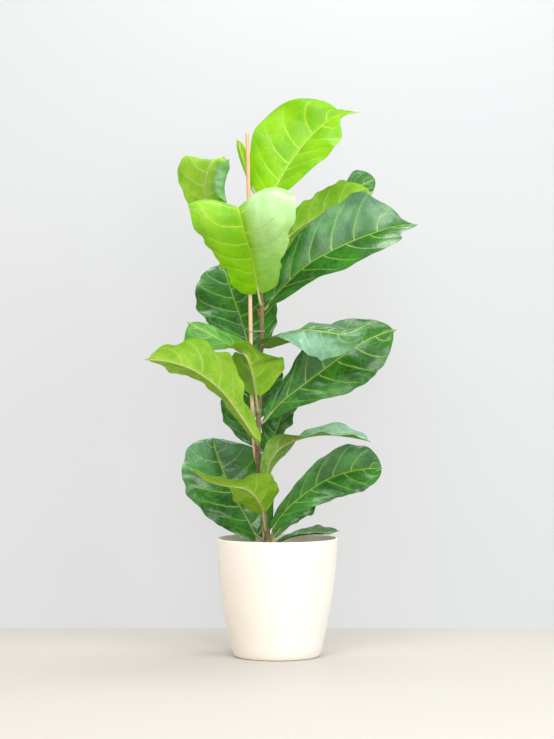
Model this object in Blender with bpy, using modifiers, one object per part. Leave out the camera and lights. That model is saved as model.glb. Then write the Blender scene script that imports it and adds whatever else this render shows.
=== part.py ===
"""Potted fiddle leaf fig: a tapered cover pot, soil, a stem tied to a support cane, and its leaves.

Metres, +Z up. The origin is the centre of the pot's flat base. The front of the plant faces -Y.
"""
import math

import bmesh
import bpy
import numpy as np

NAME = "potted_fiddle_leaf_fig"

# Pot: outer profile as (radius, height), listed from the rim down to the foot.
POT_OUTER = (
    (0.1002, 0.1930), (0.0982, 0.1600), (0.0957, 0.1330), (0.0924, 0.1070),
    (0.0883, 0.0800), (0.0833, 0.0540), (0.0776, 0.0275), (0.0750, 0.0140), (0.0725, 0.0050),
)
POT_HEIGHT = 0.1945
POT_WALL = 0.0030
POT_FLOOR = 0.0050
FOOT_RADIUS = 0.0680
INNER_HEIGHTS = (0.0275, 0.054, 0.080, 0.107, 0.133, 0.160)
TURN_STEPS = 56

SOIL_TOP = 0.1760
SOIL_EDGE_TOP = 0.1730
CLEARANCE = 0.0004

# Main stem: axis points from the soil to the growing tip.
STEM_AXIS = (
    (-0.015, 0.0, 0.177), (-0.016, 0.0, 0.200), (-0.021, 0.0, 0.225), (-0.026, 0.0, 0.272),
    (-0.030, 0.0, 0.313), (-0.032, 0.0, 0.354), (-0.030, 0.0, 0.404), (-0.028, 0.0, 0.461),
    (-0.026, 0.0, 0.519), (-0.025, 0.0, 0.585), (-0.025, 0.0, 0.651), (-0.025, 0.0, 0.709),
    (-0.026, 0.0, 0.752),
)
STEM_RADIUS_LOW = 0.0050
STEM_RADIUS_TOP = 0.0034

# Support cane: a round stick that stands behind the stem and leans out to its front left higher up.
CANE_AXIS = (
    (-0.0190, 0.0135, 0.1775), (-0.0245, 0.0120, 0.250), (-0.0305, 0.0102, 0.308), (-0.0352, 0.0086, 0.330),
    (-0.0382, 0.0065, 0.354), (-0.0395, 0.0032, 0.396), (-0.0413, 0.0002, 0.4235), (-0.0437, -0.0060, 0.552),
    (-0.0468, -0.0095, 0.767), (-0.0490, -0.0105, 0.861),
)
CANE_RADIUS = 0.0032

TIE_HEIGHTS = (0.262, 0.535)
TIE_WIRE = 0.0008

# Each dry sheath scale: its foot's height on the stem and the way it faces.
STIPULES = ((0.300, 250.0), (0.352, 320.0), (0.558, 200.0))
STIPULE_LENGTH = 0.016
STIPULE_HALF_WIDTH = 0.0032

LEAF_THICKNESS = 0.0010
PETIOLE_RADIUS = 0.0021
STALK_GAP = 0.0015
LEAF_ROWS = 17
LEAF_COLUMNS = 9
MIDRIB_SAMPLES = 80

# Half-width multipliers at these fractions of the blade's length, for each kind of outline.
OUTLINE_STATIONS = (0.0, 0.22, 0.45, 0.68, 0.88, 1.0)
OUTLINES = {
    "fiddle": (0.60, 0.52, 0.76, 1.07, 1.16, 1.00),
    "waisted": (0.40, 0.38, 0.66, 1.07, 1.16, 1.00),
    "oval": (0.75, 0.78, 0.93, 1.04, 1.04, 0.90),
    "round": (0.95, 0.95, 1.00, 1.00, 0.93, 0.80),
    "narrow": (0.45, 0.62, 0.85, 1.02, 1.05, 0.80),
}

MATURE = (0.055, 0.19, 0.045)
MIDDLE = (0.13, 0.33, 0.05)
YOUNG = (0.32, 0.60, 0.05)


def leaf(node_height, facing, half_width, midrib, **shape):
    """One leaf: where its stalk leaves the stem, the way it points, and the shape of its blade.

    facing is the compass angle in degrees that the blade's rise is measured against. roll, fold and curl
    are in degrees; they and left and right, which scale each half's width, run from base to tip.
    Left and right are as seen from the stalk, looking along the midrib with the upper side up.
    """
    row = {
        "outline": "fiddle", "roll": (0, 0), "fold": (15, 15), "fold_right": None,
        "curl": (0, 0), "curl_right": None, "left": (1.0,), "right": (1.0,), "sweep": 0.10,
        "wave": 0.004, "waves": 3.2, "phase": 0.0, "apex": 0.04, "apex_width": 0.13, "colour": MATURE,
    }
    row.update(shape)
    row.update(node_height=node_height, facing=facing, half_width=half_width, midrib=midrib)
    return row


# From the growing tip down to the soil.
LEAVES = (
    leaf(0.737, 60, 0.080, ((-0.010, -0.020, 0.757), (0.018, 0.000, 0.808), (0.050, 0.014, 0.852),
                            (0.084, 0.018, 0.884), (0.108, 0.018, 0.896), (0.136, 0.014, 0.898)),
         outline="round", roll=(-10, -5, 0, 0, 15, 50), fold=(15, 15, 20), fold_right=(5, 5), curl=(15, 15),
         left=(1.0, 1.02, 1.07, 1.10, 1.0, 0.7), right=(0.85, 0.85, 0.85, 0.95, 0.95, 0.9), sweep=0.02,
         wave=0.002, apex=0.16, apex_width=0.26, colour=YOUNG),
    leaf(0.748, 150, 0.010, ((-0.042, 0.024, 0.772), (-0.055, 0.040, 0.816), (-0.067, 0.046, 0.857)),
         outline="narrow", roll=(80, 80), fold=(20, 20), wave=0.0, colour=YOUNG),
    leaf(0.690, 270, 0.068, ((-0.094, 0.004, 0.698), (-0.107, -0.004, 0.722), (-0.117, -0.012, 0.754),
                             (-0.116, -0.012, 0.788), (-0.106, -0.008, 0.815), (-0.087, 0.004, 0.824)),
         outline="waisted", fold=(0, 0), fold_right=(20, 30, 30), curl=(-100, -220, -250, -230, -150),
         curl_right=(20, 20), left=(1.0, 1.5, 1.55, 1.2, 0.6),
         right=(0.8, 0.9, 1.0, 0.95, 1.0, 1.4), sweep=0.04, apex=0.02, colour=MIDDLE),
    leaf(0.580, 95, 0.088, ((-0.032, -0.022, 0.606), (-0.039, -0.060, 0.646), (-0.050, -0.098, 0.686),
                            (-0.060, -0.110, 0.723), (-0.062, -0.084, 0.733), (-0.058, -0.050, 0.721)),
         fold=(14, 18, 14, 12), fold_right=(14, 18, 26, 38, 38), curl=(10, 0, -35, -40),
         curl_right=(10, 10, -20, -60, -60), left=(1.5, 1.22, 0.94, 0.93, 0.93),
         right=(1.4, 1.25, 1.18, 1.16, 1.1), colour=YOUNG),
    leaf(0.650, 10, 0.045, ((-0.004, 0.030, 0.670), (0.038, 0.050, 0.708), (0.080, 0.060, 0.732),
                            (0.122, 0.060, 0.754), (0.162, 0.060, 0.770)),
         outline="oval", roll=(-110, -110), fold=(10, 10), colour=MIDDLE),
    leaf(0.572, 0, 0.063, ((-0.006, -0.009, 0.591), (0.046, -0.018, 0.641), (0.106, -0.020, 0.675),
                           (0.166, -0.010, 0.699), (0.196, 0.000, 0.708), (0.232, 0.000, 0.711)),
         outline="oval", roll=(60, 65, 60), fold=(20, 20, 30), curl=(20, 20),
         left=(1.0, 1.0, 1.0, 1.0, 1.05, 1.12, 1.25, 0.95, 0.3),
         right=(1.0, 1.0, 1.0, 1.0, 1.0, 1.0, 1.0, 1.0, 2.2), sweep=0.06, apex=0.10, apex_width=0.42),
    leaf(0.686, 30, 0.035, ((-0.016, 0.060, 0.700), (0.034, 0.108, 0.722), (0.098, 0.124, 0.764),
                            (0.168, 0.130, 0.798)),
         roll=(60, 60), fold=(10, 10), left=(0.2, 0.2, 0.2, 0.2, 0.2, 0.2, 0.25, 0.95, 1.2), apex=0.01),
    leaf(0.494, 110, 0.080, ((-0.045, 0.018, 0.502), (-0.058, 0.042, 0.550), (-0.074, 0.056, 0.596),
                             (-0.086, 0.066, 0.632), (-0.096, 0.076, 0.652)),
         outline="round", fold=(15, 10, 15), curl=(15, 15), left=(1.0, 1.0, 1.05), right=(0.85,), sweep=0.04),
    leaf(0.512, -10, 0.043, ((-0.019, -0.012, 0.516), (0.010, -0.030, 0.532), (0.037, -0.042, 0.537),
                             (0.073, -0.050, 0.535), (0.105, -0.050, 0.530), (0.128, -0.050, 0.536),
                             (0.153, -0.044, 0.548)),
         outline="round", roll=(-50, -20, 50, 55, 50, 45), fold=(-28, -28), left=(0.7,),
         right=(1.1, 0.8, 0.8, 1.2, 0.8, 0.7), sweep=0.0),
    leaf(0.384, 0, 0.060, ((-0.010, 0.000, 0.400), (0.014, 0.000, 0.424), (0.080, 0.000, 0.474),
                           (0.130, 0.010, 0.510), (0.170, 0.020, 0.530), (0.200, 0.030, 0.539)),
         outline="oval", roll=(75, 85, 85), fold=(10, 10), sweep=0.05, left=(0.75, 0.8, 1.05, 0.8, 0.5),
         right=(0.7, 0.85, 1.05, 1.0, 0.9)),
    leaf(0.403, 180, 0.070, ((-0.035, -0.022, 0.434), (-0.041, -0.046, 0.468), (-0.049, -0.062, 0.494),
                             (-0.068, -0.052, 0.507), (-0.106, -0.036, 0.528), (-0.147, -0.026, 0.550)),
         roll=(90, 90, 90, 45, -25, -35, -35, -35, -35),
         fold=(18, 18, 12, -5, -10), fold_right=(40, 40, 25, 10, 10),
         left=(1.9, 2.2, 2.0, 0.6, 0.65, 0.75, 0.85, 0.9, 0.9),
         right=(1.4, 1.4, 1.5, 1.2, 0.5, 0.32, 0.3, 0.3, 0.3), colour=MIDDLE),
    leaf(0.348, 190, 0.048, ((-0.036, -0.032, 0.362), (-0.062, -0.052, 0.402), (-0.090, -0.074, 0.438),
                             (-0.130, -0.098, 0.469), (-0.172, -0.110, 0.484), (-0.213, -0.112, 0.488)),
         outline="round", roll=(60, 55, 55, 50), fold=(35, 35), left=(0.6, 0.5, 1.1, 1.0, 0.8),
         right=(0.6, 0.6, 0.5, 1.0, 1.0), sweep=0.05, wave=0.006, colour=MIDDLE),
    leaf(0.326, 120, 0.048, ((-0.020, 0.026, 0.338), (-0.048, 0.042, 0.366), (-0.066, 0.056, 0.406),
                             (-0.070, 0.066, 0.444)),
         outline="round", left=(0.85,), right=(0.5,)),
    leaf(0.332, 50, 0.038, ((-0.016, 0.016, 0.342), (-0.002, 0.032, 0.369), (0.010, 0.042, 0.402),
                            (0.020, 0.048, 0.436)),
         outline="round", left=(0.85,)),
    leaf(0.370, 90, 0.044, ((-0.030, 0.070, 0.394), (-0.030, 0.096, 0.416), (-0.031, 0.116, 0.448),
                            (-0.032, 0.124, 0.484))),
    leaf(0.283, -10, 0.038, ((-0.020, -0.018, 0.293), (-0.012, -0.024, 0.320), (0.006, -0.030, 0.344),
                             (0.038, -0.040, 0.360), (0.078, -0.042, 0.366), (0.118, -0.050, 0.362),
                             (0.152, -0.060, 0.355)),
         outline="narrow", roll=(-60, -60, 15, 8, 8), left=(1.0, 1.0, 0.8, 1.1, 1.1),
         right=(1.2, 1.2, 0.8, 1.3, 1.3)),
    leaf(0.188, 105, 0.075, ((-0.036, 0.022, 0.198), (-0.051, 0.034, 0.226), (-0.072, 0.047, 0.261),
                             (-0.089, 0.060, 0.299), (-0.103, 0.076, 0.334), (-0.108, 0.090, 0.356)),
         outline="round", fold=(10, 10), left=(1.0, 1.0, 1.08, 1.1), sweep=0.05, apex=0.01),
    leaf(0.207, 180, 0.045, ((-0.024, -0.022, 0.241), (-0.033, -0.050, 0.262), (-0.052, -0.068, 0.280),
                             (-0.088, -0.080, 0.286), (-0.116, -0.072, 0.294), (-0.140, -0.060, 0.311)),
         outline="round", roll=(90, 75, 10, 5, 5), fold=(20, 20), left=(1.4, 1.3, 0.6, 0.5, 0.6),
         right=(1.2, 1.1, 1.0), colour=MIDDLE),
    leaf(0.195, 10, 0.045, ((-0.004, -0.010, 0.216), (0.014, -0.010, 0.240), (0.046, -0.009, 0.268),
                            (0.088, 0.000, 0.293), (0.130, 0.010, 0.305), (0.174, 0.020, 0.309)),
         outline="oval", roll=(70, 75, 75), fold=(25, 25), left=(0.6, 0.65, 0.85, 1.05, 1.15), apex=0.01),
    leaf(0.186, 35, 0.026, ((-0.004, 0.020, 0.196), (0.014, 0.046, 0.216), (0.036, 0.066, 0.236),
                            (0.062, 0.080, 0.254)),
         roll=(40, 40)),
    leaf(0.182, 0, 0.028, ((0.002, 0.010, 0.187), (0.024, 0.010, 0.196), (0.054, 0.018, 0.200),
                           (0.084, 0.026, 0.199), (0.104, 0.028, 0.204)),
         roll=(10, 10), wave=0.0015),
)


def clear_scene():
    """Remove every object already in the file."""
    for obj in list(bpy.data.objects):
        bpy.data.objects.remove(obj, do_unlink=True)


def material(name, colour, roughness, metallic=0.0):
    """A plain Principled material."""
    mat = bpy.data.materials.new(name)
    mat.use_nodes = True
    shader = mat.node_tree.nodes["Principled BSDF"]
    shader.inputs["Base Color"].default_value = (*colour, 1.0)
    shader.inputs["Roughness"].default_value = roughness
    shader.inputs["Metallic"].default_value = metallic
    return mat


def add_object(name, data, mat, smooth=True):
    """Link a mesh or curve as a named part with its own material."""
    obj = bpy.data.objects.new(name, data)
    parts.objects.link(obj)
    data.materials.clear()
    data.materials.append(mat)
    if smooth and isinstance(data, bpy.types.Mesh):
        data.shade_smooth()
    return obj


def screw_part(name, profile, mat):
    """Turn a profile of (radius, height) points, from axis to axis, into a solid of revolution."""
    mesh = bpy.data.meshes.new(name)
    mesh.from_pydata([(radius, 0.0, height) for radius, height in profile],
                     [(i, i + 1) for i in range(len(profile) - 1)], [])
    obj = add_object(name, mesh, mat, smooth=False)
    screw = obj.modifiers.new("turn", "SCREW")
    screw.axis = "Z"
    screw.steps = TURN_STEPS
    screw.render_steps = TURN_STEPS
    screw.use_merge_vertices = True
    screw.merge_threshold = 0.00001
    screw.use_smooth_shade = True
    return obj


def smooth_path(points, count):
    """A smooth path through the points, evenly spaced along its length, and that length."""
    p = np.asarray(points, float)
    p = np.vstack([2 * p[0] - p[1], p, 2 * p[-1] - p[-2]])
    u = np.linspace(0, 1, 24, endpoint=False)[:, None]
    pieces = []
    for i in range(1, len(p) - 2):
        a, b, c, d = p[i - 1:i + 3]
        pieces.append(0.5 * (2 * b + (c - a) * u + (2 * a - 5 * b + 4 * c - d) * u**2
                             + (3 * b - a - 3 * c + d) * u**3))
    path = np.vstack(pieces + [p[-2][None]])
    run = np.concatenate([[0], np.cumsum(np.linalg.norm(np.diff(path, axis=0), axis=1))])
    even = np.linspace(0, run[-1], count)
    return np.stack([np.interp(even, run, path[:, k]) for k in range(3)], 1), run[-1]


def tube_mesh(name, points, radii, cyclic=False, resolution=2):
    """A closed round tube along the points, as a mesh."""
    curve = bpy.data.curves.new(name, "CURVE")
    curve.dimensions = "3D"
    curve.bevel_depth = 1.0
    curve.bevel_resolution = resolution
    curve.render_resolution_u = 0
    curve.use_fill_caps = not cyclic
    spline = curve.splines.new("POLY")
    spline.points.add(len(points) - 1)
    spline.use_cyclic_u = cyclic
    for point, position, radius in zip(spline.points, points, radii):
        point.co = (*position, 1.0)
        point.radius = radius
    carrier = bpy.data.objects.new(name + "_curve", curve)
    mesh = bpy.data.meshes.new_from_object(carrier)
    bpy.data.objects.remove(carrier)
    weld(mesh)
    return mesh


def weld(mesh):
    """Join the coincident points that a curve's end caps leave."""
    work = bmesh.new()
    work.from_mesh(mesh)
    bmesh.ops.remove_doubles(work, verts=work.verts, dist=0.00002)
    bmesh.ops.recalc_face_normals(work, faces=work.faces)
    work.to_mesh(mesh)
    work.free()


def unit(vectors):
    """Scale vectors to length one."""
    return vectors / np.linalg.norm(vectors, axis=-1, keepdims=True)


def along(values, where):
    """Read values spaced evenly from base to tip at fractions of the blade's length."""
    return np.interp(where, np.linspace(0, 1, len(values)), values)


def half_width(row, t):
    """The blade's half-width as a fraction of its greatest half-width."""
    s = np.clip(t / (1 - row["apex"]), 0, 1)
    body = 2 * np.sqrt(s * (1 - s)) * np.interp(s, OUTLINE_STATIONS, OUTLINES[row["outline"]])
    drip_tip = row["apex_width"] * np.clip((1 - t) / (2 * row["apex"]), 0, 1) * (t > 0.5)
    return np.maximum(np.maximum(body, drip_tip), 0.0012 / row["half_width"])


def blade_points(row, rows, columns):
    """Points on the blade's middle surface, one line for each station from base to tip."""
    path, length = smooth_path(row["midrib"], MIDRIB_SAMPLES)
    tangents = unit(np.gradient(path, axis=0))
    v = columns[None, :] + 0 * rows[:, None]
    t = rows[:, None] + 0 * v
    forward = row["sweep"] * np.sin(np.pi * t) - 0.055 * np.clip(1 - t / 0.14, 0, 1)
    at = t + forward * np.abs(v) ** 1.3
    step = np.clip(at, 0, 1) * (len(path) - 1)
    low = np.minimum(step.astype(int), len(path) - 2)
    part = (step - low)[..., None]
    tangent = unit(tangents[low] * (1 - part) + tangents[low + 1] * part)
    beyond = (at - np.clip(at, 0, 1)) * length
    centre = path[low] * (1 - part) + path[low + 1] * part + tangent * beyond[..., None]
    heading = math.radians(row["facing"])
    side = np.array([-math.sin(heading), math.cos(heading), 0.0])
    side = unit(side - (tangent @ side)[..., None] * tangent)
    upper = np.cross(tangent, side)
    roll = np.radians(along(row["roll"], at))[..., None]
    side, upper = np.cos(roll) * side + np.sin(roll) * upper, np.cos(roll) * upper - np.sin(roll) * side
    is_left = v >= 0
    fold = np.radians(np.where(is_left, along(row["fold"], at), along(row["fold_right"] or row["fold"], at)))
    curl = np.radians(np.where(is_left, along(row["curl"], at), along(row["curl_right"] or row["curl"], at)))
    widest = row["half_width"]
    sides = np.where(is_left, along(row["left"], at), along(row["right"], at))
    reach = widest * sides * half_width(row, t) * np.abs(v)
    across = np.zeros_like(reach)
    lift = np.zeros_like(reach)
    for k in range(12):
        angle = fold + curl * (reach / widest * (k + 0.5) / 12) ** 2
        across += np.cos(angle) * reach / 12
        lift += np.sin(angle) * reach / 12
    ripple = np.sin(2 * np.pi * row["waves"] * at + row["phase"] + np.where(is_left, 0.0, 1.9))
    lift += row["wave"] * np.clip(reach / widest, 0, 1) ** 2 * ripple
    return centre + side * (np.sign(v) * across)[..., None] + upper * lift[..., None]


def stem_point(height):
    """The stem's axis and radius at a height."""
    axis = np.array(STEM_AXIS)
    centre = np.array([np.interp(height, axis[:, 2], axis[:, 0]), 0.0, height])
    part = (height - axis[0, 2]) / (axis[-1, 2] - axis[0, 2])
    return centre, STEM_RADIUS_LOW + (STEM_RADIUS_TOP - STEM_RADIUS_LOW) * part


def cane_point(height):
    """The cane's axis at a height."""
    axis = np.array(CANE_AXIS)
    return np.array([np.interp(height, axis[:, 2], axis[:, k]) for k in range(3)])


def petiole_path(row):
    """The leaf stalk, from beside the stem to a little way up the blade's midrib."""
    centre, stem_radius = stem_point(row["node_height"])
    rib, _ = smooth_path(row["midrib"], 40)
    out = rib[0] - centre
    out[2] = 0.0
    out = unit(out)
    start = centre + out * (stem_radius + STALK_GAP)
    first = start + out * 0.005
    points, _ = smooth_path((start, first, rib[0], rib[3]), 9)
    return points


def grid_mesh(name, points):
    """An open quad mesh through a grid of points."""
    rows, columns = points.shape[:2]
    faces = []
    for i in range(rows - 1):
        for j in range(columns - 1):
            low = i * columns + j
            faces.append((low, low + columns, low + columns + 1, low + 1))
    mesh = bpy.data.meshes.new(name)
    mesh.from_pydata([tuple(p) for p in points.reshape(-1, 3)], [], faces)
    return mesh


def thicken(obj, thickness):
    """Give an open surface its thickness, half on each side."""
    solid = obj.modifiers.new("thickness", "SOLIDIFY")
    solid.thickness = thickness
    solid.offset = 0.0
    solid.use_even_offset = True


def add_leaf(number, row):
    """A blade and its stalk as one solid."""
    name = "leaf_%02d" % number
    stations = 0.5 - 0.5 * np.cos(np.pi * np.linspace(0.05, 1.0, LEAF_ROWS))
    points = blade_points(row, stations, np.linspace(-1, 1, LEAF_COLUMNS))
    obj = add_object(name, grid_mesh(name, points), material(name, row["colour"], 0.35))
    thicken(obj, LEAF_THICKNESS)
    path = petiole_path(row)
    radii = np.linspace(PETIOLE_RADIUS, PETIOLE_RADIUS * 0.65, len(path))
    stalk = bpy.data.objects.new(name + "_stalk", tube_mesh(name + "_stalk", path, radii, resolution=1))
    cutters.objects.link(stalk)
    stalk.hide_render = True
    stalk.display_type = "WIRE"
    join = obj.modifiers.new("stalk", "BOOLEAN")
    join.operation = "UNION"
    join.solver = "EXACT"
    join.object = stalk


def add_stipule(number, height, heading):
    """A dry sheath scale standing beside the stem."""
    name = "stipule_%d" % number
    centre, stem_radius = stem_point(height)
    angle = math.radians(heading)
    out = np.array([math.cos(angle), math.sin(angle), 0.0])
    base = centre + out * (stem_radius + 0.0014)
    up = np.array([0.0, 0.0, 1.0])
    midrib = (base, base + up * STIPULE_LENGTH * 0.5 + out * 0.0008,
              base + up * STIPULE_LENGTH + out * 0.0035)
    row = leaf(height, heading, STIPULE_HALF_WIDTH, midrib,
               outline="oval", fold=(30, 30), wave=0.0, sweep=0.0)
    points = blade_points(row, np.linspace(0.08, 0.97, 6), np.linspace(-1, 1, 5))
    obj = add_object(name, grid_mesh(name, points), material(name, (0.20, 0.08, 0.04), 0.7))
    thicken(obj, 0.0007)


def add_tie(number, height):
    """A wire loop round the stem and the cane."""
    name = "tie_%d" % number
    stem, stem_radius = stem_point(height)
    cane = cane_point(height)
    gap = TIE_WIRE + 0.0006
    ends = ((stem, stem_radius + gap), (cane, CANE_RADIUS + gap))
    lean = math.atan2(stem[1] - cane[1], stem[0] - cane[0])
    points = []
    for side, (centre, radius) in enumerate(ends):
        for k in range(9):
            angle = lean - math.pi / 2 + math.pi * (side + k / 8)
            x = centre[0] + radius * math.cos(angle)
            y = centre[1] + radius * math.sin(angle)
            points.append((x, y, height))
    mesh = tube_mesh(name, points, [TIE_WIRE] * len(points), cyclic=True, resolution=1)
    add_object(name, mesh, material(name, (0.42, 0.40, 0.24), 0.5))


def inner_radius(height):
    """The radius of the pot's inside wall at a height."""
    heights = [h for _, h in reversed(POT_OUTER)]
    radii = [r for r, _ in reversed(POT_OUTER)]
    return float(np.interp(height, heights, radii)) - POT_WALL


def add_pot():
    """Cover pot: an open, thin-walled, rounded taper with a flat foot."""
    rim = POT_OUTER[0][0]
    profile = [(0.0, POT_FLOOR), (inner_radius(0.010) - 0.006, POT_FLOOR), (inner_radius(0.012), 0.012)]
    profile += [(inner_radius(height), height) for height in INNER_HEIGHTS]
    profile += [(rim - POT_WALL, 0.193), (rim - POT_WALL + 0.0005, POT_HEIGHT - 0.0004)]
    profile += [(rim - POT_WALL / 2, POT_HEIGHT), (rim - 0.0005, POT_HEIGHT - 0.0004), *POT_OUTER]
    profile += [(0.0706, 0.0012), (FOOT_RADIUS, 0.0), (0.0, 0.0)]
    screw_part("pot", profile, material("pot", (0.88, 0.85, 0.79), 0.35))


def add_soil():
    """Potting mix filling the pot to just below its rim."""
    edge = inner_radius(SOIL_EDGE_TOP) - CLEARANCE
    profile = [(0.0, SOIL_TOP), (0.05, SOIL_TOP), (0.08, SOIL_EDGE_TOP + 0.0015), (edge, SOIL_EDGE_TOP)]
    profile += [(inner_radius(height) - CLEARANCE, height) for height in reversed(INNER_HEIGHTS)]
    profile += [(inner_radius(0.013) - CLEARANCE, 0.013)]
    profile += [(inner_radius(0.010) - 0.0075, POT_FLOOR + CLEARANCE), (0.0, POT_FLOOR + CLEARANCE)]
    screw_part("soil", profile, material("soil", (0.035, 0.022, 0.014), 0.95))


def add_stem():
    """The woody main stem, thinner towards the growing tip, with a pointed bud on top."""
    points, _ = smooth_path(STEM_AXIS, 30)
    radii = [stem_point(p[2])[1] for p in points]
    radii[0] *= 1.2
    add_object("stem", tube_mesh("stem", points, radii), material("stem", (0.22, 0.15, 0.08), 0.7))
    tip = points[-1]
    bud_heights = (0.0006, 0.004, 0.009, 0.015, 0.021)
    bud_radii = (0.0030, 0.0038, 0.0032, 0.0018, 0.0005)
    bud_points = [(tip[0] - 0.1 * h, 0.0, tip[2] + h) for h in bud_heights]
    add_object("bud", tube_mesh("bud", bud_points, bud_radii), material("bud", (0.35, 0.42, 0.10), 0.5))


def add_cane():
    """The support cane."""
    points, _ = smooth_path(CANE_AXIS, 28)
    mesh = tube_mesh("cane", points, [CANE_RADIUS] * len(points))
    add_object("cane", mesh, material("cane", (0.80, 0.58, 0.36), 0.55))


clear_scene()
parts = bpy.data.collections.new(NAME)
cutters = bpy.data.collections.new("cutters")
for collection in (parts, cutters):
    bpy.context.scene.collection.children.link(collection)

add_pot()
add_soil()
add_stem()
add_cane()
for index, row in enumerate(LEAVES, start=1):
    add_leaf(index, row)
for index, (height, heading) in enumerate(STIPULES, start=1):
    add_stipule(index, height, heading)
for index, height in enumerate(TIE_HEIGHTS, start=1):
    add_tie(index, height)
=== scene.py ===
"""Looks of the potted fiddle leaf fig: leaves, stem, cane, ties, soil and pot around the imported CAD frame."""

import math

import bpy
import numpy as np
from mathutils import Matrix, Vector, noise


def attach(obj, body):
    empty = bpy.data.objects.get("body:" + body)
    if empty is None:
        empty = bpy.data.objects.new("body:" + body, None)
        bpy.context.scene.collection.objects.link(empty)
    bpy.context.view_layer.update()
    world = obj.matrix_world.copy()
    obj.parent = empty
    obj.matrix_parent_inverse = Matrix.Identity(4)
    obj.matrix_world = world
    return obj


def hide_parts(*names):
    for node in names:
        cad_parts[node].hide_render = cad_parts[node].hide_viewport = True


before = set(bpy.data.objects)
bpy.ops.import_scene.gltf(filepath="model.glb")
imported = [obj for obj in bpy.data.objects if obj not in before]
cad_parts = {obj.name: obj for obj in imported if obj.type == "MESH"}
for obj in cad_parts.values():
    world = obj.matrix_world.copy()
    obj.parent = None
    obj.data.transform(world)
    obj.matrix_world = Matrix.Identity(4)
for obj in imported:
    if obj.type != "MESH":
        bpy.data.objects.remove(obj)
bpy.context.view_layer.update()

# ---------------------------------------------------------------- dimensions in metres

POT_OUTER = (
    (0.1002, 0.1930), (0.0982, 0.1600), (0.0957, 0.1330), (0.0924, 0.1070),
    (0.0883, 0.0800), (0.0833, 0.0540), (0.0776, 0.0275), (0.0750, 0.0140), (0.0725, 0.0050),
)
POT_HEIGHT = 0.1945
POT_WALL = 0.0030
POT_FLOOR = 0.0050
FOOT_RADIUS = 0.0680
FOOT_CURVE = (0.0706, 0.0012)
INNER_HEIGHTS = (0.0275, 0.054, 0.080, 0.107, 0.133, 0.160)
SOIL_TOP = 0.1760
SOIL_EDGE_TOP = 0.1730
CLEARANCE = 0.0004

# The stem leans a little and the cane bows past it, from the soil up.
STEM_AXIS = (
    (-0.015, 0.0, 0.177), (-0.016, 0.0, 0.200), (-0.021, 0.0, 0.225), (-0.026, 0.0, 0.272),
    (-0.030, 0.0, 0.313), (-0.032, 0.0, 0.354), (-0.030, 0.0, 0.404), (-0.028, 0.0, 0.461),
    (-0.026, 0.0, 0.519), (-0.025, 0.0, 0.585), (-0.025, 0.0, 0.651), (-0.025, 0.0, 0.709),
    (-0.026, 0.0, 0.752),
)
STEM_RADIUS_LOW = 0.0050
STEM_RADIUS_TOP = 0.0034
CANE_AXIS = (
    (-0.0190, 0.0135, 0.1775), (-0.0245, 0.0120, 0.250), (-0.0305, 0.0102, 0.308), (-0.0352, 0.0086, 0.330),
    (-0.0382, 0.0065, 0.354), (-0.0395, 0.0032, 0.396), (-0.0413, 0.0002, 0.4235), (-0.0437, -0.0060, 0.552),
    (-0.0468, -0.0095, 0.767), (-0.0490, -0.0105, 0.861),
)
CANE_RADIUS = 0.0032
TIE_HEIGHTS = (0.262, 0.535)
TIE_WIRE = 0.0008
TIE_GAP = 0.0006
TIE_HALF_TURN_STEPS = 12
# Each stipule's height, and the way it faces in degrees.
STIPULES = ((0.300, 250.0), (0.352, 320.0), (0.558, 200.0))
STIPULE_LENGTH = 0.016
STIPULE_HALF_WIDTH = 0.0032
STIPULE_GAP = 0.0006
STIPULE_HALF_THICKNESS = 0.0002

# Outlines scale an oval's half-width at stations from base to tip.
OUTLINE_STATIONS = (0.0, 0.22, 0.45, 0.68, 0.88, 1.0)
OUTLINES = {
    "fiddle": (0.60, 0.52, 0.76, 1.07, 1.16, 1.00),
    "waisted": (0.40, 0.38, 0.66, 1.07, 1.16, 1.00),
    "oval": (0.75, 0.78, 0.93, 1.04, 1.04, 0.90),
    "round": (0.95, 0.95, 1.00, 1.00, 0.93, 0.80),
    "narrow": (0.45, 0.62, 0.85, 1.02, 1.05, 0.80),
}

# Vein spacing and sweep are fractions of the blade's length. Quilt is how far the tissue swells between the
# veins, and crown is how far each half arches as a fraction of the half-width.
LEAF_ROWS = 100
LEAF_COLUMNS = 41
BLADE_THICKNESS = 0.0008
LEAST_HALF_WIDTH = 0.0008
VEIN_SPACING = 0.150
VEIN_SWEEP = 0.24
QUILT = 0.0015
CROWN = 0.055
GROOVE_DEPTH = 0.0009
GROOVE_WIDTH = 0.0022
BEND_STEPS = 12
CURVE_STEPS = 24
RIB_SIDES = 10
RIB_STEPS = 60
LEAD_STEPS = 16

# Bud heights are above the stem's end, and cane joints are fractions of the cane's length.
STEM_SIDES = 22
BUD_SIDES = 16
BUD_STEPS = 26
BUD_HEIGHTS = (-0.002, 0.002, 0.006, 0.011, 0.016, 0.0215)
BUD_RADII = (0.0030, 0.0038, 0.0037, 0.0027, 0.0015, 0.0002)
CANE_JOINTS = (0.22, 0.47, 0.74)
RIM_STEPS = 12
SOIL_SEED = 7
CRUMBS = 260
CRUMB_SIZES = (0.0008, 0.0028)


def mm(*points):
    """Points given in millimetres, as metres."""
    return tuple(tuple(c / 1000 for c in point) for point in points)


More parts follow.
